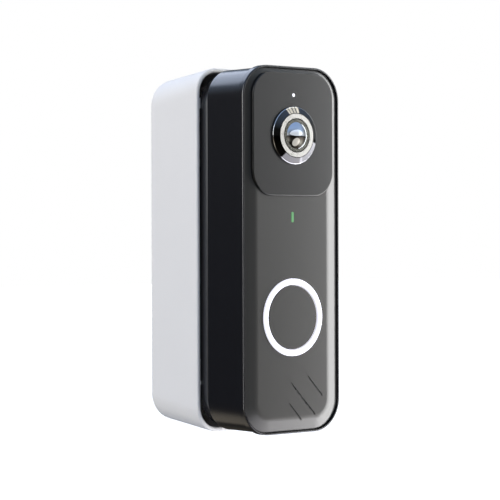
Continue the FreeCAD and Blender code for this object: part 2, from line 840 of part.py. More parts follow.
def add_speaker_grooves(body):
    """Three parallel slanted grooves low on the face, with sound holes where they pass the speaker."""
    slant = math.radians(dim["groove_slant"].number)
    for index in range(3):
        sketch = front_sketch(body, face_depth, [])
        x, z, half = dim[f"groove_{index}_x"], dim[f"groove_{index}_z"], dim[f"groove_{index}_length"] / 2
        ends = [(half * (side * math.cos(slant)) + x, z - half * (side * math.sin(slant))) for side in (-1, 1)]
        slot_in_sketch(sketch, ends, dim["groove_width"])
        pocket = body.newObject("PartDesign::Pocket", f"groove_{index}")
        pocket.Profile = sketch
        pocket.setExpression("Length", dim["groove_depth"].text)
        finish_feature(body, pocket)
    steps = [dim["sound_hole_pitch"] * (number - 2) for number in range(5)]
    holes = [Disc(dim["sound_hole_radius"], step * math.cos(slant) + dim["groove_0_x"],
                  dim["groove_0_z"] - step * math.sin(slant)) for step in steps]
    cut_layer(body, cover_rear, face_depth, *holes)


def slot_in_sketch(sketch, ends, width):
    """Draw a round-ended slot between two points."""
    (x0, z0), (x1, z1) = ends
    along = math.atan2((z1 - z0).number, (x1 - x0).number)
    radius = width.number / 2
    normal = FreeCAD.Vector(-math.sin(along), math.cos(along), 0) * radius
    start, stop = FreeCAD.Vector(x0.number, z0.number, 0), FreeCAD.Vector(x1.number, z1.number, 0)
    axis = FreeCAD.Vector(0, 0, 1)
    quarter = math.pi / 2
    cap_0 = Part.ArcOfCircle(Part.Circle(start, axis, radius), along + quarter, along + 3 * quarter)
    cap_1 = Part.ArcOfCircle(Part.Circle(stop, axis, radius), along - quarter, along + quarter)
    first = sketch.addGeometry(cap_0, False)
    second = sketch.addGeometry(cap_1, False)
    low = sketch.addGeometry(Part.LineSegment(start - normal, stop - normal), False)
    high = sketch.addGeometry(Part.LineSegment(stop + normal, start + normal), False)
    for one, end, other, start_point in ((first, 2, low, 1), (low, 2, second, 1), (second, 2, high, 1),
                                         (high, 2, first, 1)):
        sketch.addConstraint(Sketcher.Constraint("Tangent", one, end, other, start_point))
    hold(sketch, Sketcher.Constraint("Radius", first, radius), width / 2)
    for geo, (x, z) in ((first, (x0, z0)), (second, (x1, z1))):
        hold(sketch, Sketcher.Constraint("DistanceX", -1, 1, geo, 3, x.number), x)
        hold(sketch, Sketcher.Constraint("DistanceY", -1, 1, geo, 3, z.number), z)


ir_board_front = cover_rear - dim["emitter_board_gap"]
ir_board_rear = ir_board_front - dim["small_board_thick"]


def make_camera_plate():
    """The dark raised plate round the lens."""
    body = new_body("camera_plate")
    add_layer(body, plate_floor, plate_front, plate_outline)
    round_edges(body, plate_front, dim["plate_edge_round"])
    cut_layer(body, plate_floor, plate_front + 1, Disc(dim["bezel_radius"] + dim["fit_gap"], 0, dim["lens_place"]),
              Disc(dim["sensor_dot_radius"] + dim["fit_gap"] / 2, 0, dim["sensor_dot_place"]))


# ---------------------------------------------------------------------------------------------------
# Camera unit: lens and camera
# ---------------------------------------------------------------------------------------------------


def make_lens_front():
    """Bezel, silver ring, retaining ring and the domed front glass."""
    centre = dim["lens_place"]
    bezel_front = face_depth + dim["bezel_proud"]
    ring_front = face_depth + dim["ring_proud"]
    outer, inner = dim["bezel_radius"], dim["ring_outer_radius"]
    edge = dim["lens_edge_round"]
    turned("lens_bezel", [(plate_floor, inner), (plate_floor, outer), (bezel_front - edge, outer),
                          (bezel_front, outer - edge), (ring_front, inner)], z=centre)
    hole = dim["barrel_radius"] + dim["ring_barrel_gap"]
    turned("lens_ring", [(plate_floor, hole), (plate_floor, inner), (ring_front, inner), (ring_front, hole)],
           z=centre)
    tube_front = ring_front - dim["retaining_thick"]
    glass = dim["glass_radius"]
    turned("lens_retaining_ring", [(tube_front, glass), (tube_front, dim["barrel_radius"]),
                                   (ring_front, dim["barrel_radius"]), (ring_front, glass)], z=centre)
    thread = dim["barrel_thread_radius"]
    bore = glass - dim["barrel_shoulder"]
    seat = ring_front - dim["glass_seat"]
    shoulder = holder_front + dim["fit_gap"] * 2
    turned("lens_barrel", [(holder_floor, bore), (holder_floor, thread), (shoulder, thread),
                           (shoulder, dim["barrel_radius"]), (tube_front, dim["barrel_radius"]),
                           (tube_front, glass), (seat, glass), (seat, bore)], z=centre)
    starts = [holder_floor + dim[f"inner_lens_{i}_rise"] for i in range(2)]
    inner_pieces = [rod(f"inner_glass_{i}", bore - dim["glass_slack"], start, start + dim["inner_lens_thick"],
                        0, centre) for i, start in enumerate(starts)]
    group("inner_lenses", inner_pieces)
    make_front_glass(seat, ring_front, glass, centre)


def make_front_glass(seat, rim, radius, centre):
    """A disc of glass with a spherical front."""
    edge = radius - dim["glass_slack"]
    disc = rod("glass_disc", edge, seat, rim, 0, centre)
    dome_height = dim["glass_dome"]
    ball_radius = (edge * edge + dome_height * dome_height) / (dome_height * 2)
    ball = doc.addObject("Part::Sphere", "glass_ball")
    ball.setExpression("Radius", ball_radius.text)
    place(ball, 0, -(rim + dome_height - ball_radius), centre)
    tube = rod("glass_tube", edge, rim, rim + dome_height, 0, centre)
    cap = doc.addObject("Part::Common", "glass_cap")
    cap.Base = ball
    cap.Tool = tube
    group("front_lens", [disc, cap]).Refine = True


camera_board_rear = board_front + dim["camera_board_gap"]
camera_board_front = camera_board_rear + dim["small_board_thick"]
filter_rear = camera_board_front + dim["filter_rise"]
holder_floor = camera_board_front + dim["holder_floor_height"]
holder_front = camera_board_front + dim["holder_tube_height"]


def make_camera_board():
    """The camera's own board, its socket on the main board and the image sensor."""
    side = dim["holder_width"] + 2
    block("camera_board", side, side, camera_board_rear, camera_board_front, z=dim["lens_place"])
    block("camera_connector", dim["camera_plug_width"], dim["camera_plug_height"], board_front, camera_board_rear,
          z=dim["lens_place"])
    block("image_sensor", dim["sensor_width"], dim["sensor_height"], camera_board_front,
          camera_board_front + dim["sensor_thick"], z=dim["lens_place"])


def make_lens_holder():
    """The holder between board and barrel, with the channel that the filter slides in."""
    body = new_body("lens_holder")
    centre = dim["lens_place"]
    add_layer(body, camera_board_front, holder_floor,
              Outline(dim["holder_width"], dim["holder_height"], dim["holder_corner"], 0, centre))
    tube = dim["barrel_thread_radius"] + dim["holder_tube_wall"]
    add_layer(body, holder_floor, holder_front, Disc(tube, 0, centre),
              Disc(dim["barrel_thread_radius"] + dim["fit_gap"] / 2, 0, centre))
    margin = dim["sensor_pocket_margin"] * 2
    cut_layer(body, camera_board_front, camera_board_front + dim["sensor_pocket_depth"],
              box_outline(dim["sensor_width"] + margin, dim["sensor_height"] + margin, 0, centre))
    cut_layer(body, camera_board_front, holder_floor, Disc(dim["filter_radius"] + dim["filter_side_gap"], 0, centre))
    channel = block("filter_channel", dim["filter_frame_width"] + dim["filter_travel"] + dim["filter_end_gap"] * 2,
                    dim["filter_frame_height"] + dim["filter_side_gap"] * 2, filter_rear - dim["fit_gap"],
                    filter_rear + dim["filter_frame_thick"] + dim["fit_gap"], z=centre)
    body.Label = "lens_holder_blank"
    less("lens_holder", body, channel)


def make_filter_shuttle():
    """The day and night filters in the frame that slides behind the barrel."""
    centre = dim["lens_place"]
    front = filter_rear + dim["filter_frame_thick"]
    frame_x = -(dim["filter_travel"] / 2)
    window = dim["filter_radius"]
    whole = block("filter_blank", dim["filter_frame_width"], dim["filter_frame_height"], filter_rear, front,
                  frame_x, centre)
    windows = [rod(f"filter_window_{i}", window, filter_rear, front, x, centre)
               for i, x in enumerate((as_size(0), -dim["filter_travel"]))]
    less("ir_cut_frame", whole, *windows)
    inset = dim["filter_glass_inset"]
    named(rod("ir_cut_glass", window, filter_rear + inset, front - inset, 0, centre), "ir_cut_glass")
    named(rod("clear_glass", window, filter_rear + inset, front - inset, -dim["filter_travel"], centre),
          "clear_glass")


def make_night_light():
    """The ring board with the infrared emitters and the light sensor, and the sensor's light guide."""
    centre = dim["lens_place"]
    body = new_body("ir_board")
    add_layer(body, ir_board_rear, ir_board_front, Disc(dim["emitter_circle"] + dim["emitter_board_rim"], 0, centre),
              Disc(dim["barrel_radius"] + dim["emitter_board_rim"], 0, centre))
    size = dim["emitter_size"]
    group("ir_emitters", [block(f"emitter_{i}", size, size, ir_board_front,
                                ir_board_front + dim["emitter_thick"], x, z)
                          for i, (x, z) in enumerate(emitter_places)])
    dot = dim["sensor_dot_radius"]
    side = dim["light_sensor_size"]
    block("light_sensor", side, side, ir_board_front, ir_board_front + dim["light_sensor_thick"],
          z=dim["sensor_dot_place"])
    turned("light_sensor_lens", [(cover_rear, 0), (cover_rear, dot * 2), (plate_floor, dot * 2),
                                 (plate_floor, dot), (plate_front + dim["fit_gap"], dot), (plate_front + dim["fit_gap"], 0)],
           z=dim["sensor_dot_place"])


def make_status_light():
    """The slim status light: its diode on the board and the light pipe that ends in the face."""
    body = new_body("status_light_pipe")
    outline = status_outline()
    led_front = board_front + dim["status_led_thick"]
    add_layer(body, led_front + dim["status_led_thick"], face_depth + dim["fit_gap"] / 2, outline)
    add_layer(body, cover_rear - dim["status_flange"], cover_rear, outline.inset(-dim["status_flange"]))
    block("status_led", dim["status_led_size"], dim["status_led_size"], board_front, led_front,
          z=dim["status_place"])


# ---------------------------------------------------------------------------------------------------
# Camera unit: push button
# ---------------------------------------------------------------------------------------------------

halo_inner = dim["halo_outer_radius"] - dim["halo_width"]
button_radius = halo_inner - dim["button_gap"]
halo_front = face_depth + dim["halo_proud"]
halo_flange_rear = cover_rear - dim["halo_flange_thick"]
halo_rear = halo_flange_rear - dim["halo_skirt"]
flange_front = halo_rear - dim["fit_gap"] * 2
flange_rear = flange_front - dim["button_flange_thick"]
membrane_front = flange_rear - dim["button_travel"] - dim["membrane_gap"]
membrane_rear = membrane_front - dim["membrane_thick"]
ring_board_front = membrane_rear - dim["membrane_stand"]
ring_board_rear = ring_board_front - dim["small_board_thick"]
switch_front = ring_board_front + dim["switch_depth"]
plunger_front = switch_front + dim["plunger_proud"]
frame_inner = dim["halo_outer_radius"] + dim["frame_inset"]
frame_outer = frame_inner + dim["frame_wall"]


def make_light_ring():
    """The white light ring round the button, with a flange behind the cover."""
    outer = dim["halo_outer_radius"]
    edge = dim["halo_edge"]
    flange = outer + dim["halo_flange"]
    turned("light_ring", [(halo_rear, halo_inner), (halo_rear, outer), (halo_flange_rear, outer),
                          (halo_flange_rear, flange), (cover_rear, flange), (cover_rear, outer),
                          (halo_front - edge, outer), (halo_front, outer - edge),
                          (halo_front, halo_inner + edge), (halo_front - edge, halo_inner)],
           z=dim["button_place"])


def make_button_cap():
    """The push button: a shallow cap with a retaining flange and a centre post."""
    front = face_depth + dim["button_proud"]
    edge = dim["button_edge"]
    post = dim["button_post_radius"]
    flange = button_radius + dim["button_flange"]
    skirt = button_radius - dim["button_wall"]
    ceiling = front - dim["button_wall"]
    post_end = plunger_front + dim["fit_gap"] / 2
    turned("button_cap", [(post_end, 0), (post_end, post), (ceiling, post), (ceiling, skirt), (flange_rear, skirt),
                          (flange_rear, flange), (flange_front, flange), (flange_front, button_radius),
                          (front - edge, button_radius), (front, button_radius - edge), (front, 0)],
           z=dim["button_place"])


def make_button_mechanism():
    """Membrane, frame, light board and the tactile switch behind the button."""
    centre = dim["button_place"]
    hole = dim["switch_port"]
    body = new_body("button_membrane")
    add_layer(body, membrane_rear, membrane_front, Disc(frame_inner, 0, centre), Disc(hole, 0, centre))
    body = new_body("button_frame")
    add_layer(body, ring_board_front, halo_flange_rear, Disc(frame_outer, 0, centre), Disc(frame_inner, 0, centre))
    rod("ring_board", frame_outer, ring_board_rear, ring_board_front, 0, centre)
    circle = (dim["halo_outer_radius"] + halo_inner) / 2
    count = int(DIMENSIONS["halo_led_count"])
    turns = [math.tau * number / count for number in range(count)]
    size = dim["ring_led_size"]
    group("ring_leds", [block(f"ring_led_{i}", size, size, ring_board_front,
                              ring_board_front + dim["ring_led_thick"],
                              circle * math.sin(turn), centre + circle * math.cos(turn))
                        for i, turn in enumerate(turns)])
    size = dim["switch_size"]
    whole = block("switch_blank", size, size, ring_board_front, switch_front, 0, centre)
    plunger_rear = switch_front - dim["plunger_sunk"]
    bore_floor = plunger_rear - dim["button_travel"] - dim["fit_gap"] * 2
    bore = rod("switch_bore", dim["plunger_radius"] + dim["fit_gap"], bore_floor, switch_front, 0, centre)
    less("tact_switch", whole, bore)
    rod("switch_plunger", dim["plunger_radius"], plunger_rear, plunger_front, 0, centre)
    block("ring_flex", dim["flex_width"], dim["flex_thick"], board_front, ring_board_rear, 0,
          centre - frame_outer + dim["ring_led_size"])


# ---------------------------------------------------------------------------------------------------
# Camera unit: electronics, sound and screws
# ---------------------------------------------------------------------------------------------------


def make_main_board():
    """The main board on its standoffs, with its shield can, aerial and screws."""
    body = new_body("main_board")
    add_layer(body, board_rear, board_front, Outline(dim["board_width"], dim["board_height"], dim["board_corner"]),
              *[Disc(dim["board_screw_radius"] + dim["fit_gap"], x, z) for x, z in board_screw_places])
    screws("board_screws", board_screw_places, board_front, board_front + dim["board_head_thick"],
           dim["board_head_radius"], board_pilot_rear, dim["board_screw_radius"])
    wide, tall, wall = dim["shield_width"], dim["shield_height"], dim["shield_wall"]
    can_front = board_front + dim["shield_depth"]
    can = block("can_blank", wide, tall, board_front, can_front, 0, dim["shield_place"])
    room = block("can_room", wide - wall * 2, tall - wall * 2, board_front, can_front - wall, 0, dim["shield_place"])
    less("shield_can", can, room)
    top = dim["unit_height"] / 2 - dim["unit_wall"]
    rear = shell_floor + dim["antenna_rise"]
    block("antenna", dim["antenna_length"], dim["antenna_thick"], rear, rear + dim["antenna_width"], 0,
          top - dim["antenna_thick"] / 2)


def make_case_screws():
    screws("case_screws", case_screw_places, case_head_floor - dim["case_head_thick"], case_head_floor,
           dim["case_head_radius"], cover_rear - dim["case_screw_end_gap"], dim["case_screw_radius"])


def make_speaker():
    """The small loudspeaker behind the grooves: basket, cone, magnet and the gasket to the cover."""
    x, z = dim["speaker_x"], dim["speaker_place"]
    outer = dim["speaker_radius"]
    land = outer - dim["speaker_land"]
    vent, back = dim["speaker_vent"], dim["speaker_back_radius"]
    front = cover_rear - dim["speaker_seat"]
    rear = front - dim["speaker_depth"]
    floor = rear + dim["speaker_wall"]
    flange_rear = front - dim["speaker_flange"]
    turned("speaker_frame", [(front, outer), (flange_rear, outer), (rear, back), (rear, vent), (floor, vent),
                             (floor, dim["speaker_back_inner"]), (flange_rear + dim["speaker_wall"] / 2, land),
                             (front, land)], x, z)
    thick, throat = dim["cone_thick"], dim["speaker_throat"]
    cone_front, neck = front - dim["cone_drop"], rear + dim["cone_rise"]
    cap = neck + dim["dust_cap_rise"]
    turned("speaker_cone", [(cone_front, land), (cone_front - thick, land), (neck, throat), (cap, 0),
                            (cap + thick, 0), (neck + thick, throat)], x, z)
    rod("speaker_magnet", dim["speaker_back_inner"], rear - dim["magnet_thick"], rear, x, z)
    turned("speaker_gasket", [(front, land), (front, outer), (cover_rear, outer), (cover_rear, land)], x, z)


def make_microphone():
    """The microphone over its pinhole in the bottom wall, on a soft gasket."""
    floor = dim["unit_height"] / 2 - dim["unit_wall"]
    pad, thick = dim["mic_pad_size"], dim["mic_pad_thick"]
    whole = block("mic_pad", pad, thick, mic_depth - pad / 2, mic_depth + pad / 2, dim["mic_x"], thick / 2 - floor)
    hole = upright("mic_pad_hole", dim["mic_hole_radius"], -floor, thick - floor, dim["mic_x"], mic_depth)
    less("microphone_gasket", whole, hole)
    half = dim["mic_depth_size"] / 2
    block("microphone", dim["mic_width"], dim["mic_thick"], mic_depth - half, mic_depth + half, dim["mic_x"],
          thick + dim["mic_thick"] / 2 - floor)


# ---------------------------------------------------------------------------------------------------
# Battery pack
# ---------------------------------------------------------------------------------------------------

contact_places = [dim["contact_pitch"] * step for step in (-1, 0, 1)]
pad_rear = pack_rear + dim["contact_pad_rise"]
pad_front = pad_rear + dim["contact_pad_length"]


def make_battery_case():
    """The battery's box, closed at the front by its slide plate."""
    body = new_body("battery_case_blank")
    outline = Outline(pack_width, pack_height, dim["pack_corner"], 0, dim["pack_place"])
    add_layer(body, pack_rear, pack_lid_rear, outline)
    round_edges(body, pack_rear, dim["pack_edge_round"])
    inner = box_outline(pack_width - dim["pack_wall"] * 2, pack_height - dim["pack_wall"] * 2, 0, dim["pack_place"])
    cut_layer(body, pack_rear + dim["pack_wall"], pack_lid_rear, inner)
    wide, thick = dim["contact_pad_width"], dim["contact_pad_thick"]
    seats = [block(f"pad_seat_{i}", wide, thick, pad_rear, pad_front, x, pack_top - thick / 2)
             for i, x in enumerate(contact_places)]
    less("battery_case", body, *seats)
    group("battery_contacts", [block(f"battery_pad_{i}", wide, thick, pad_rear, pad_front, x, pack_top - thick / 2)
                               for i, x in enumerate(contact_places)])


def make_battery_inside():
    """Slide plate, two cells side by side and their protection board."""
    body = new_body("battery_slide_plate")
    add_layer(body, pack_lid_rear, pack_front, Outline(slide_plate_width, pack_height,
                                                      dim["slide_plate_corner"], 0, dim["pack_place"]))
    low = dim["pack_place"] - pack_height / 2 + dim["pack_wall"]
    depth = pack_rear + dim["pack_wall"] + cell_room / 2
    apart = dim["cell_radius"] + dim["fit_gap"]
    group("battery_cells", [upright(f"cell_{i}", dim["cell_radius"], low, low + dim["cell_length"],
                                    apart * side, depth) for i, side in enumerate((-1, 1))])
    board_low = low + dim["cell_length"] + dim["pack_board_gap"]
    half = dim["pack_board_depth"] / 2
    block("battery_board", pack_width - dim["pack_wall"] * 2, dim["pack_board_thick"], depth - half, depth + half, 0,
          board_low + dim["pack_board_thick"] / 2)


def make_contact_block():
    """The unit's spring contacts, which meet the pads on top of the battery."""
    low = pack_top + dim["fit_gap"] / 2
    spring = dim["contact_thick"]
    block_tall = dim["contact_block_height"]
    rear = pad_rear - spring * 2
    block("contact_block", dim["contact_block_width"], block_tall, rear, shell_rear, 0, low + spring + block_tall / 2)
    group("contact_springs", [block(f"contact_spring_{i}", dim["contact_spring_width"], spring, pad_rear + spring,
                                    pad_front - spring, x, low + spring / 2)
                              for i, x in enumerate(contact_places)])


# ---------------------------------------------------------------------------------------------------
# Build, test and export
# ---------------------------------------------------------------------------------------------------

NODES = [
    "base_shell", "wall_gasket", "cable_grommet", "terminal_block", "terminal_screws",
    "body_shell", "case_gasket", "case_screws", "front_cover", "camera_plate",
    "lens_bezel", "lens_ring", "lens_retaining_ring", "lens_barrel", "inner_lenses", "front_lens",
    "lens_holder", "image_sensor", "camera_board", "camera_connector",
    "ir_cut_frame", "ir_cut_glass", "clear_glass", "ir_board", "ir_emitters", "light_sensor",
    "light_sensor_lens", "status_light_pipe", "status_led",
    "light_ring", "button_cap", "button_membrane", "button_frame", "ring_board", "ring_leds",
    "tact_switch", "switch_plunger", "ring_flex",
    "main_board", "board_screws", "shield_can", "antenna",
    "speaker_frame", "speaker_cone", "speaker_magnet", "speaker_gasket", "microphone", "microphone_gasket",
    "battery_case", "battery_contacts", "battery_slide_plate", "battery_cells", "battery_board",
    "contact_block", "contact_springs",
]


def build_all():
    """Make every piece."""
    make_base_shell()
    make_wall_gasket()
    make_cable_grommet()
    make_terminals()
    make_body_shell()
    make_case_gasket()
    make_front_cover()
    make_camera_plate()
    make_lens_front()
    make_camera_board()
    make_lens_holder()
    make_filter_shuttle()
    make_night_light()
    make_status_light()
    make_light_ring()
    make_button_cap()
    make_button_mechanism()
    make_main_board()
    make_case_screws()
    make_speaker()
    make_microphone()
    make_battery_case()
    make_battery_inside()
    make_contact_block()
    doc.recompute()


def node_object(name):
    """The document object that carries a node's label."""
    found = doc.getObjectsByLabel(name)
    if len(found) != 1:
        raise RuntimeError(f"{name}: {len(found)} objects have this label")
    return found[0]


def test_document():
    """Stop if any object failed or any node's shape is unsound."""
    for item in doc.Objects:
        if "Invalid" in item.State or "Error" in item.State:
            raise RuntimeError(f"{item.Name} failed: {item.State}")
    for name in NODES:
        shape = node_object(name).Shape
        if shape.isNull() or not shape.isValid() or not shape.Solids:
            raise RuntimeError(f"{name} has no sound shape")


def export_nodes():
    """Write each node to its own file."""
    os.makedirs("parts", exist_ok=True)
    for name in NODES:
        node_object(name).Shape.exportStep(f"parts/{name}.step")


build_all()
test_document()
export_nodes()
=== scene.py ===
"""Looks for the video doorbell: materials, finely made front pieces, studio and camera.

Everything is in metres in the model's own frame: X to the right, Z up, the wall in the plane Y = 0 and the
visitor towards -Y. A depth is a distance from the wall, so a point at depth d has Y = -d.
"""
import json
import math

import bmesh
import bpy
from mathutils import Matrix, Vector


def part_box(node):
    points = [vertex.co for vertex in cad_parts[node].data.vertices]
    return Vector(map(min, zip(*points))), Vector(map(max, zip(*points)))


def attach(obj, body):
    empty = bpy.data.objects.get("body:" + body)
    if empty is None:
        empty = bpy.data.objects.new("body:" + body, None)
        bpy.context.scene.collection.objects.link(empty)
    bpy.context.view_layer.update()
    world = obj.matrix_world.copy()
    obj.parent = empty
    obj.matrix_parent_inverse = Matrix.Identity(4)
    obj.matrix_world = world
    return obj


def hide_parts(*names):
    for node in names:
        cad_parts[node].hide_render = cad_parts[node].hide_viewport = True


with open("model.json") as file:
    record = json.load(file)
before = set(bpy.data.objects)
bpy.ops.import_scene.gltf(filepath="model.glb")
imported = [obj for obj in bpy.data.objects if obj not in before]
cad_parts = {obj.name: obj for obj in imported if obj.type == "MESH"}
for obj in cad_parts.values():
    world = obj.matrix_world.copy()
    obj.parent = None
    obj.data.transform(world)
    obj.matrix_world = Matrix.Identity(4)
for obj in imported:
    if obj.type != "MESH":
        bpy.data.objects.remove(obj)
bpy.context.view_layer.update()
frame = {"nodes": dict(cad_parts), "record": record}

MM = 0.001

# Sizes of surface textures, in cells per metre.
PLASTIC_DRIFT = 60
PLASTIC_GLOSS = 170
SPARK_TEXTURE = 1000
METAL_MARKS = 1400
TRACK_PATTERN = 520.0
GLASS_HAZE = 240
LIT_DRIFT = 160
COATING_HAZE = 300
PAPER_GRAIN = 8

# ---------------------------------------------------------------------------------------------------
# Materials
# ---------------------------------------------------------------------------------------------------


class Surface:
    """A Principled material with its node tree at hand."""

    def __init__(self, name, roughness=0.5, metallic=0.0, specular=0.5):
        self.material = bpy.data.materials.new(name)
        self.material.use_nodes = True
        self.nodes = self.material.node_tree.nodes
        self.links = self.material.node_tree.links
        self.shader = self.nodes["Principled BSDF"]
        self.set("Roughness", roughness)
        self.set("Metallic", metallic)
        self.set("Specular IOR Level", specular)
        self.place = self.nodes.new("ShaderNodeTexCoord").outputs["Object"]

    def set(self, socket, value):
        """Give a socket of the shader a fixed value."""
        self.shader.inputs[socket].default_value = value

    def link(self, output, socket):
        """Feed a socket of the shader."""
        self.links.new(output, self.shader.inputs[socket])

    def noise(self, scale, detail=3.0, stretch=(1, 1, 1)):
        """A noise over the object's own coordinates; scale is cells per metre."""
        mapping = self.nodes.new("ShaderNodeMapping")
        mapping.inputs["Scale"].default_value = stretch
        self.links.new(self.place, mapping.inputs["Vector"])
        texture = self.nodes.new("ShaderNodeTexNoise")
        texture.inputs["Scale"].default_value = scale
        texture.inputs["Detail"].default_value = detail
        self.links.new(mapping.outputs["Vector"], texture.inputs["Vector"])
        return texture.outputs["Fac"]

    def between(self, factor, low, high, start=0.35, stop=0.65):
        """Map a factor onto a range of numbers."""
        node = self.nodes.new("ShaderNodeMapRange")
        for name, value in (("From Min", start), ("From Max", stop), ("To Min", low), ("To Max", high)):
            node.inputs[name].default_value = value
        self.links.new(factor, node.inputs["Value"])
        return node.outputs["Result"]

    def shades(self, factor, dark, light, start=0.2, stop=0.8):
        """Map a factor onto a range between two colours."""
        ramp = self.nodes.new("ShaderNodeValToRGB")
        first, last = ramp.color_ramp.elements
        first.position, first.color = start, (*dark, 1)
        last.position, last.color = stop, (*light, 1)
        self.links.new(factor, ramp.inputs["Fac"])
        return ramp.outputs["Color"]

    def bump(self, height, strength, distance):
        """Raise the surface by a height map, over a distance in metres."""
        node = self.nodes.new("ShaderNodeBump")
        node.inputs["Strength"].default_value = strength
        node.inputs["Distance"].default_value = distance
        self.links.new(height, node.inputs["Height"])
        self.link(node.outputs["Normal"], "Normal")


def tinted(colour, share):
    """A colour made lighter or darker by a share of itself."""
    return tuple(min(1.0, c * (1 + share)) for c in colour)


def moulded(name, colour, roughness, vary=0.05, grain=0.35, relief=0.02, specular=0.5, coat=0.0, patchy=0.08):
    """Moulded plastic: a fine spark texture, slow colour drift and slightly uneven gloss.

    vary and patchy are shares of the colour and the roughness; grain and relief are in millimetres.
    """
    surface = Surface(name, specular=specular)
    drift = surface.noise(PLASTIC_DRIFT)
    surface.link(surface.shades(drift, tinted(colour, -vary), tinted(colour, vary)), "Base Color")
    gloss = surface.noise(PLASTIC_GLOSS)
    surface.link(surface.between(gloss, roughness * (1 - patchy), roughness * (1 + patchy), 0.2, 0.8),
                 "Roughness")
    surface.bump(surface.noise(SPARK_TEXTURE / grain, detail=2), 0.35, relief * MM)
    surface.set("Coat Weight", coat)
    surface.set("Coat Roughness", roughness * 0.6)
    return surface.material


def metal(name, colour, roughness, stretch=(1, 1, 1), relief=0.01, vary=0.06):
    """Metal with fine drawn or turned marks."""
    surface = Surface(name, metallic=1.0)
    marks = surface.noise(METAL_MARKS, detail=4, stretch=stretch)
    surface.link(surface.shades(marks, tinted(colour, -vary), tinted(colour, vary)), "Base Color")
    surface.link(surface.between(marks, roughness * 0.8, roughness * 1.2), "Roughness")
    surface.bump(marks, 0.25, relief * MM)
    return surface.material


def circuit_board():
    """Solder mask with tracks as slightly raised lighter lines."""
    surface = Surface("circuit_board", roughness=0.35)
    tracks = surface.nodes.new("ShaderNodeTexBrick")
    surface.links.new(surface.place, tracks.inputs["Vector"])
    for socket, value in (("Scale", TRACK_PATTERN), ("Mortar Size", 0.035), ("Brick Width", 0.9),
                          ("Row Height", 0.35)):
        tracks.inputs[socket].default_value = value
    surface.link(surface.shades(tracks.outputs["Fac"], (0.012, 0.10, 0.04), (0.03, 0.19, 0.08)), "Base Color")
    surface.bump(tracks.outputs["Fac"], 0.3, 0.03 * MM)
    return surface.material


def glass(name, colour, roughness=0.02, ior=1.5):
    """Clear optical glass, tinted by its colour."""
    surface = Surface(name)
    haze = surface.noise(GLASS_HAZE)
    surface.link(surface.shades(haze, tinted(colour, -0.04), tinted(colour, 0.04)), "Base Color")
    surface.link(surface.between(haze, roughness, roughness * 1.6), "Roughness")
    surface.set("IOR", ior)
    surface.set("Transmission Weight", 1.0)
    return surface.material


def lit(name, colour, strength, vary=0.03):
    """A milky light guide, lit from behind and a little uneven."""
    surface = Surface(name, roughness=0.35)
    drift = surface.noise(LIT_DRIFT)
    surface.link(surface.shades(drift, tinted(colour, -vary), tinted(colour, vary)), "Base Color")
    surface.link(surface.shades(drift, tinted(colour, -vary), tinted(colour, vary)), "Emission Color")
    surface.set("Emission Strength", strength)
    return surface.material


MATERIALS = {
    "white_shell": moulded("white_shell", (0.785, 0.75, 0.708), 0.48, vary=0.01, relief=0.008),
    "black_shell": moulded("black_shell", (0.0050, 0.0052, 0.0066), 0.20, relief=0.001, specular=0.75,
                           patchy=0.01),
    "grey_face": moulded("grey_face", (0.036, 0.0345, 0.031), 0.24, vary=0.02, relief=0.001, patchy=0.01),
    "dark_plate": moulded("dark_plate", (0.009, 0.009, 0.0085), 0.24, vary=0.02, relief=0.001, patchy=0.01),
    "bezel_chrome": metal("bezel_chrome", (0.095, 0.095, 0.098), 0.05, relief=0.0002, vary=0.02),
    # A brighter copy of the bezel metal, painted on the rolled rim of the bezel as its highlight.
    "rim_painted_highlight": metal("rim_painted_highlight", (0.60, 0.61, 0.63), 0.10, relief=0.0002, vary=0.02),
    "silver_ring": metal("silver_ring", (0.33, 0.325, 0.31), 0.34, relief=0.0, vary=0.01),
    "grey_ring": metal("grey_ring", (0.10, 0.10, 0.088), 0.25, relief=0.0004, vary=0.02),
    "optical_glass": glass("optical_glass", (0.86, 0.92, 0.96)),
    "filter_glass": glass("filter_glass", (0.45, 0.85, 0.82)),
    "sensor_glass": moulded("sensor_glass", (0.03, 0.025, 0.07), 0.12, coat=0.6),
    "black_plastic": moulded("black_plastic", (0.014, 0.014, 0.015), 0.5, vary=0.08),
    "battery_plastic": moulded("battery_plastic", (0.028, 0.028, 0.031), 0.46, vary=0.06, relief=0.03),
    "switch_plastic": moulded("switch_plastic", (0.45, 0.07, 0.04), 0.45),
    "milky_plastic": lit("milky_plastic", (0.92, 0.92, 0.92), 0.5),
    "light_ring": lit("light_ring", (0.80, 0.79, 0.85), 0.74, vary=0.015),
    "status_light": lit("status_light", (0.05, 0.22, 0.06), 0.25, vary=0.10),
    "led_resin": moulded("led_resin", (0.80, 0.74, 0.45), 0.2, coat=0.5),
    "circuit_board": circuit_board(),
    "flex_film": moulded("flex_film", (0.42, 0.20, 0.035), 0.3, coat=0.3),
    "foam": moulded("foam", (0.035, 0.035, 0.037), 0.9, vary=0.25, grain=0.6, relief=0.15, specular=0.2),
    "black_rubber": moulded("black_rubber", (0.02, 0.02, 0.021), 0.6, vary=0.1, relief=0.03),
    "clear_silicone": moulded("clear_silicone", (0.70, 0.70, 0.67), 0.35),
    "speaker_paper": moulded("speaker_paper", (0.04, 0.04, 0.04), 0.8, vary=0.2, grain=0.8, relief=0.08),
    "cell_sleeve": moulded("cell_sleeve", (0.05, 0.20, 0.42), 0.28, coat=0.4),
    "brass": metal("brass", (0.86, 0.62, 0.25), 0.22),
    "zinc_steel": metal("zinc_steel", (0.62, 0.62, 0.64), 0.3, stretch=(1, 8, 1)),
    "shield_steel": metal("shield_steel", (0.66, 0.66, 0.67), 0.38, stretch=(6, 1, 1)),
    "magnet_steel": metal("magnet_steel", (0.50, 0.50, 0.51), 0.3),
}


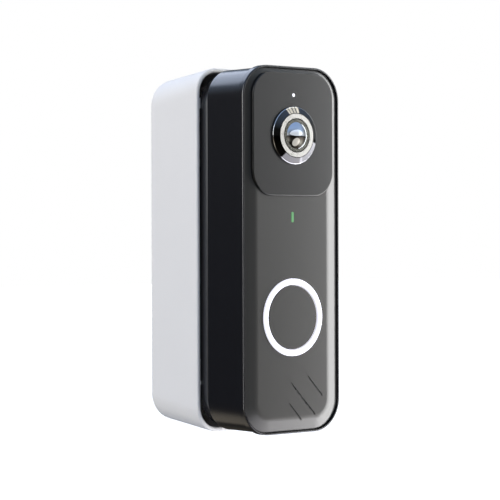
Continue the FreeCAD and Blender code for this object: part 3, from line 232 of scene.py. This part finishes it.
def dress_cad_nodes():
    """Give every CAD node the material of its slot in the record."""
    slots = {part["node"]: part["material_slot"] for part in frame["record"]["subparts"]}
    for name, node in frame["nodes"].items():
        node.data.materials.clear()
        node.data.materials.append(MATERIALS[slots[name]])
        soften(node)


def soften(piece, angle=28):
    """Shade smooth, keeping edges sharper than an angle in degrees."""
    for polygon in piece.data.polygons:
        polygon.use_smooth = True
    piece.data.set_sharp_from_angle(angle=math.radians(angle))
    weighted = piece.modifiers.new("weighted_normals", "WEIGHTED_NORMAL")
    weighted.keep_sharp = True


dress_cad_nodes()

# ---------------------------------------------------------------------------------------------------
# Mesh making
# ---------------------------------------------------------------------------------------------------


def new_piece(name, mesh_data, material, body):
    """Link a bmesh as an object that rides on a body."""
    mesh = bpy.data.meshes.new(name)
    bmesh.ops.recalc_face_normals(mesh_data, faces=mesh_data.faces)
    mesh_data.to_mesh(mesh)
    mesh_data.free()
    piece = bpy.data.objects.new(name, mesh)
    bpy.context.scene.collection.objects.link(piece)
    mesh.materials.append(MATERIALS[material])
    soften(piece)
    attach(piece, body)
    return piece


def lathe(profile, x, z, turns=160, closed=True):
    """Turn a profile of (depth, radius) points about an axis square to the wall."""
    mesh = bmesh.new()
    rings = []
    for depth, radius in profile:
        if radius < 1e-9:
            rings.append([mesh.verts.new((x, -depth, z))])
            continue
        rings.append([mesh.verts.new((x + radius * math.sin(math.tau * i / turns), -depth,
                                      z + radius * math.cos(math.tau * i / turns))) for i in range(turns)])
    pairs = list(zip(rings, rings[1:]))
    if closed:
        pairs.append((rings[-1], rings[0]))
    for one, other in pairs:
        for i in range(turns):
            corners = [one[i % len(one)], one[(i + 1) % len(one)],
                       other[(i + 1) % len(other)], other[i % len(other)]]
            distinct = list(dict.fromkeys(corners))
            if len(distinct) > 2:
                mesh.faces.new(distinct)
    return mesh


def arc(centre, radius, start, stop, steps):
    """Points on a circle arc in (depth, radius) space, with angles in degrees from the depth axis."""
    angles = [math.radians(start + (stop - start) * i / steps) for i in range(steps + 1)]
    return [(centre[0] + radius * math.cos(a), centre[1] + radius * math.sin(a)) for a in angles]


def node_centre(name):
    """The middle of a CAD node seen from the front, as (x, z)."""
    low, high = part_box(name)
    return (low.x + high.x) / 2, (low.z + high.z) / 2


def depths(name):
    """The depth nearest the wall and the depth nearest the visitor of a CAD node."""
    low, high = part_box(name)
    return -high.y, -low.y


def width(name):
    """How wide a CAD node is."""
    low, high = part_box(name)
    return high.x - low.x


# ---------------------------------------------------------------------------------------------------
# Front lens group
# ---------------------------------------------------------------------------------------------------

DOME_FIT = 0.995  # share of the CAD lens radius, for a hair of clearance in its seat
DOME_STEPS = 24
BEZEL_ROLL = 0.36 * MM  # radius of the rolled outer edge
BEZEL_DROP = 1.42 * MM  # from the front of the cone back to the centre of the roll
BEZEL_LAND = 0.25 * MM  # from the front of the cone in to the ring
BEZEL_STEP = 0.5 * MM  # depth of the edge beside the ring
BEZEL_TURNS = 220
ROLL_SWEEP = (90, 24)  # where the roll starts and stops, in degrees from the depth axis
ROLL_STEPS = 10
ROLL_HIGHLIGHT_SHARE = 0.75  # share of the roll given the brighter metal, a painted highlight


def make_front_lens():
    """A smooth dome of dark coated glass in place of the faceted one."""
    x, z = node_centre("front_lens")
    rear, front = depths("front_lens")
    radius = width("front_lens") / 2 * DOME_FIT
    rim = depths("lens_retaining_ring")[1]
    rise = front - rim
    ball = (radius * radius + rise * rise) / (2 * rise)
    reach = math.degrees(math.asin(radius / ball))
    dome = arc((front - ball, 0), ball, reach, 0, DOME_STEPS)
    dome[-1] = (front, 0)
    mesh = lathe([(rear, 0), (rear, radius)] + dome, x, z, closed=False)
    piece = new_piece("front_lens_glass", mesh, "lens_coating", "camera_unit")
    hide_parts("front_lens")


def lens_coating():
    """Dark glass under a mirror-bright multilayer coating, drawn as a mirror metal that is slightly bluish
    all over.
    """
    surface = Surface("lens_coating", metallic=1.0)
    haze = surface.noise(COATING_HAZE)
    surface.link(surface.shades(haze, (0.60, 0.64, 0.70), (0.66, 0.70, 0.76)), "Base Color")
    surface.link(surface.between(haze, 0.03, 0.05), "Roughness")
    return surface.material


MATERIALS["lens_coating"] = lens_coating()


def make_bezel():
    """The glossy black bezel cone, rolled over to a rim whose outer part has a painted highlight of brighter
    metal.
    """
    x, z = node_centre("lens_bezel")
    rear, front = depths("lens_bezel")
    outer = width("lens_bezel") / 2
    inner = width("lens_ring") / 2
    rolled = arc((front - BEZEL_DROP, outer - BEZEL_ROLL), BEZEL_ROLL, *ROLL_SWEEP, ROLL_STEPS)
    profile = [(rear, inner), (rear, outer), *rolled,
               (front, inner + BEZEL_LAND), (front - BEZEL_STEP, inner)]
    mesh = lathe(profile, x, z, turns=BEZEL_TURNS)
    piece = new_piece("lens_bezel_turned", mesh, "bezel_chrome", "camera_unit")
    piece.data.materials.append(MATERIALS["rim_painted_highlight"])
    # Faces on the outer part of the roll take the brighter metal, a painted highlight.
    painted_highlight_from = outer - BEZEL_ROLL * ROLL_HIGHLIGHT_SHARE
    for polygon in piece.data.polygons:
        if Vector((polygon.center.x - x, polygon.center.z - z)).length > painted_highlight_from:
            polygon.material_index = 1
    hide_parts("lens_bezel")


make_front_lens()
make_bezel()

# ---------------------------------------------------------------------------------------------------
# Studio
# ---------------------------------------------------------------------------------------------------

LIGHTING_CENTRE = Vector((0, -60 * MM, 0))  # what every panel is aimed at
WORLD_STRENGTH = 1.15
# From straight down (0) to straight up (1), with the horizon at 0.5.
WORLD_HEIGHTS = [(0.0, (0.03, 0.025, 0.02)), (0.14, (0.10, 0.08, 0.06)), (0.26, (0.80, 0.72, 0.58)),
                 (0.38, (0.34, 0.28, 0.22)), (0.475, (0.10, 0.09, 0.08)), (0.497, (0.03, 0.03, 0.03)),
                 (0.515, (0.95, 0.96, 0.98)), (0.60, (0.98, 1.0, 1.0)), (0.68, (0.52, 0.64, 0.82)),
                 (0.85, (0.34, 0.46, 0.68)), (1.0, (0.30, 0.42, 0.66))]
# Brightness by azimuth in degrees, 0 straight in front and positive to the right.
WORLD_WALLS = [(-180, 1.6), (-163, 1.1), (-150, 0.03), (-122, 0.02), (-104, 0.85), (-60, 0.9), (-42, 0.45),
               (-26, 0.05), (8, 0.03), (24, 0.12), (36, 0.75), (60, 0.8), (80, 0.35), (120, 0.2), (150, 0.1),
               (170, 0.1), (180, 1.6)]
LILAC = (0.93, 0.93, 1.0)
CREAM_PITCH = 7.0  # degrees between neighbouring cream strips
CREAM_PANELS = ((-2, 0.7), (-0.7, 1.0), (0.8, 0.8), (2.2, 1.0))  # place in pitches, and share of full size
WALL_FADE = (0.25, 0.7)  # heights between which the walls' unevenness fades into an even ceiling
FLOOR_PLACE = -0.42
FLOOR_SIZE = 14
FLOOR_CELLS = 24
CAMERA_PLACE = (-0.5025, -0.6358, 0.00467)
CAMERA_AZIMUTH = 39.98
CAMERA_ROLL = -0.17
CAMERA_LENS = 144.0
CAMERA_SHIFT = -0.0245
SENSOR_WIDTH = 36.0


def panel(name, azimuth, elevation, distance, wide, high, power, colour=(1, 1, 1), shape="RECTANGLE"):
    """A soft box aimed at the doorbell; azimuth 0 is straight in front and positive to the right."""
    data = bpy.data.lights.new(name, "AREA")
    data.shape = shape
    data.size, data.size_y = wide, high
    data.energy, data.color = power, colour
    lamp = bpy.data.objects.new(name, data)
    a, e = math.radians(azimuth), math.radians(elevation)
    away = Vector((math.sin(a) * math.cos(e), -math.cos(a) * math.cos(e), math.sin(e)))
    lamp.location = LIGHTING_CENTRE + away * distance
    lamp.rotation_euler = away.to_track_quat("Z", "Y").to_euler()
    bpy.context.scene.collection.objects.link(lamp)
    lamp.visible_camera = False
    return lamp


def link_lamp(lamp, state, pieces):
    """Tie a lamp to some pieces, either to light them alone (INCLUDE) or all but them (EXCLUDE)."""
    linked = bpy.data.collections.new(f"{lamp.name}_pieces")
    for piece in pieces:
        linked.objects.link(piece)
    lamp.light_linking.receiver_collection = linked
    for member in linked.collection_objects:
        member.light_linking.link_state = state


def ramp_of(nodes, stops):
    """A colour ramp through (position, colour) stops."""
    node = nodes.new("ShaderNodeValToRGB")
    elements = node.color_ramp.elements
    elements[0].position, elements[1].position = stops[0][0], stops[-1][0]
    elements[0].color, elements[1].color = (*stops[0][1], 1), (*stops[-1][1], 1)
    for position, colour in stops[1:-1]:
        elements.new(position).color = (*colour, 1)
    return node


def make_world():
    """White to the camera; light and reflections come from a bluish ceiling and unevenly lit walls."""
    world = bpy.data.worlds.new("studio")
    bpy.context.scene.world = world
    world.use_nodes = True
    nodes, links = world.node_tree.nodes, world.node_tree.links
    direction = nodes.new("ShaderNodeTexCoord").outputs["Generated"]
    split = nodes.new("ShaderNodeSeparateXYZ")
    links.new(direction, split.inputs["Vector"])
    height = nodes.new("ShaderNodeMapRange")
    height.inputs["From Min"].default_value = -1
    links.new(split.outputs["Z"], height.inputs["Value"])
    upright = ramp_of(nodes, WORLD_HEIGHTS)
    links.new(height.outputs["Result"], upright.inputs["Fac"])
    backwards = nodes.new("ShaderNodeMath")
    backwards.operation = "MULTIPLY"
    backwards.inputs[1].default_value = -1
    links.new(split.outputs["Y"], backwards.inputs[0])
    turn = nodes.new("ShaderNodeMath")
    turn.operation = "ARCTAN2"
    links.new(split.outputs["X"], turn.inputs[0])
    links.new(backwards.outputs["Value"], turn.inputs[1])
    round_about = nodes.new("ShaderNodeMapRange")
    round_about.inputs["From Min"].default_value = -math.pi
    round_about.inputs["From Max"].default_value = math.pi
    links.new(turn.outputs["Value"], round_about.inputs["Value"])
    walls = ramp_of(nodes, [((azimuth + 180) / 360, (shade,) * 3) for azimuth, shade in WORLD_WALLS])
    links.new(round_about.outputs["Result"], walls.inputs["Fac"])
    low = nodes.new("ShaderNodeMapRange")
    low.inputs["From Min"].default_value, low.inputs["From Max"].default_value = WALL_FADE
    links.new(split.outputs["Z"], low.inputs["Value"])
    level = nodes.new("ShaderNodeMix")
    level.data_type = "RGBA"
    links.new(low.outputs["Result"], level.inputs[0])
    links.new(walls.outputs["Color"], level.inputs[6])
    level.inputs[7].default_value = (1, 1, 1, 1)
    tinted_wall = nodes.new("ShaderNodeMix")
    tinted_wall.data_type, tinted_wall.blend_type = "RGBA", "MULTIPLY"
    tinted_wall.inputs[0].default_value = 1
    links.new(level.outputs[2], tinted_wall.inputs[6])
    links.new(upright.outputs["Color"], tinted_wall.inputs[7])
    seen, lighting = nodes["Background"], nodes.new("ShaderNodeBackground")
    seen.inputs["Color"].default_value = (1, 1, 1, 1)
    links.new(tinted_wall.outputs[2], lighting.inputs["Color"])
    lighting.inputs["Strength"].default_value = WORLD_STRENGTH
    path = nodes.new("ShaderNodeLightPath")
    mix = nodes.new("ShaderNodeMixShader")
    links.new(path.outputs["Is Camera Ray"], mix.inputs["Fac"])
    links.new(lighting.outputs["Background"], mix.inputs[1])
    links.new(seen.outputs["Background"], mix.inputs[2])
    links.new(mix.outputs["Shader"], nodes["World Output"].inputs["Surface"])


def make_floor():
    """A wide pale floor well below the doorbell, which hangs as it does on a wall."""
    mesh = bmesh.new()
    bmesh.ops.create_grid(mesh, x_segments=FLOOR_CELLS, y_segments=FLOOR_CELLS, size=FLOOR_SIZE)
    data = bpy.data.meshes.new("floor")
    mesh.to_mesh(data)
    mesh.free()
    floor = bpy.data.objects.new("floor", data)
    floor.location.z = FLOOR_PLACE
    bpy.context.scene.collection.objects.link(floor)
    surface = Surface("floor_paper", roughness=0.9, specular=0.1)
    grain = surface.noise(PAPER_GRAIN)
    surface.link(surface.shades(grain, (0.50, 0.50, 0.50), (0.54, 0.54, 0.54)), "Base Color")
    surface.link(surface.shades(grain, (0.97, 0.97, 0.97), (1, 1, 1)), "Emission Color")
    path = surface.nodes.new("ShaderNodeLightPath")
    surface.link(path.outputs["Is Camera Ray"], "Emission Strength")
    data.materials.append(surface.material)
    floor.visible_glossy = False


def make_camera():
    """A long lens from the visitor's left, level with the middle of the doorbell."""
    data = bpy.data.cameras.new("camera")
    data.sensor_width, data.lens = SENSOR_WIDTH, CAMERA_LENS
    data.shift_y = CAMERA_SHIFT
    camera = bpy.data.objects.new("camera", data)
    turn, roll = math.radians(CAMERA_AZIMUTH), math.radians(CAMERA_ROLL)
    camera.matrix_world = (Matrix.Translation(CAMERA_PLACE) @ Matrix.Rotation(-turn, 4, "Z")
                           @ Matrix.Rotation(math.pi / 2, 4, "X") @ Matrix.Rotation(roll, 4, "Z"))
    bpy.context.scene.collection.objects.link(camera)
    bpy.context.scene.camera = camera


def light_studio():
    """Panels for the whole doorbell, kept off the pieces whose reflections they would spoil."""
    dome = bpy.data.objects["front_lens_glass"]
    bezel = bpy.data.objects["lens_bezel_turned"]
    link_lamp(panel("right_panel", 63, -3, 0.40, 0.21, 0.5, 3.0), "EXCLUDE", [dome, bezel])
    link_lamp(panel("left_panel", -100, 22, 0.8, 0.5, 0.5, 3.5, (1.0, 0.965, 0.92)), "EXCLUDE", [dome])
    link_lamp(panel("low_panel", 46, -48, 0.5, 0.58, 0.40, 2.5, (0.94, 0.93, 1.0)), "EXCLUDE", [dome])
    link_lamp(panel("sky_panel", 178, 42, 0.8, 0.6, 0.3, 1.3, (0.76, 0.83, 1.0)), "EXCLUDE", [dome])
    for step, share in CREAM_PANELS:
        strip = panel("cream_panel", 47 + CREAM_PITCH * step, 47, 0.5, 0.042 * share, 0.12, 0.12 * share,
                      (1.0, 0.93, 0.74))
        link_lamp(strip, "EXCLUDE", [dome])


def light_details():
    """Panels that reach one piece each and only stage the small reflections on it."""
    dome = bpy.data.objects["front_lens_glass"]
    bezel = bpy.data.objects["lens_bezel_turned"]
    shell = bpy.data.objects["body_shell"]
    link_lamp(panel("edge_panel", -66, 0, 0.6, 0.16, 0.6, 2.6), "INCLUDE", [shell])
    link_lamp(panel("lilac_panel", 86, -23, 0.5, 0.36, 0.46, 2.4, LILAC), "INCLUDE", [bezel])
    link_lamp(panel("lower_lilac_panel", 46, -48, 0.5, 0.58, 0.40, 2.6, LILAC), "INCLUDE", [bezel])
    cloud = panel("cloud_panel", 14, 20, 0.5, 0.95, 0.30, 0.62, (0.95, 0.97, 1.0), "ELLIPSE")
    paper = panel("paper_panel", 20, -32, 0.5, 0.46, 0.46, 0.42, (1.0, 0.90, 0.76), "ELLIPSE")
    link_lamp(cloud, "INCLUDE", [dome])
    link_lamp(paper, "INCLUDE", [dome])


make_world()
make_floor()
light_studio()
light_details()
make_camera()
bpy.context.scene.view_settings.view_transform = "Standard"
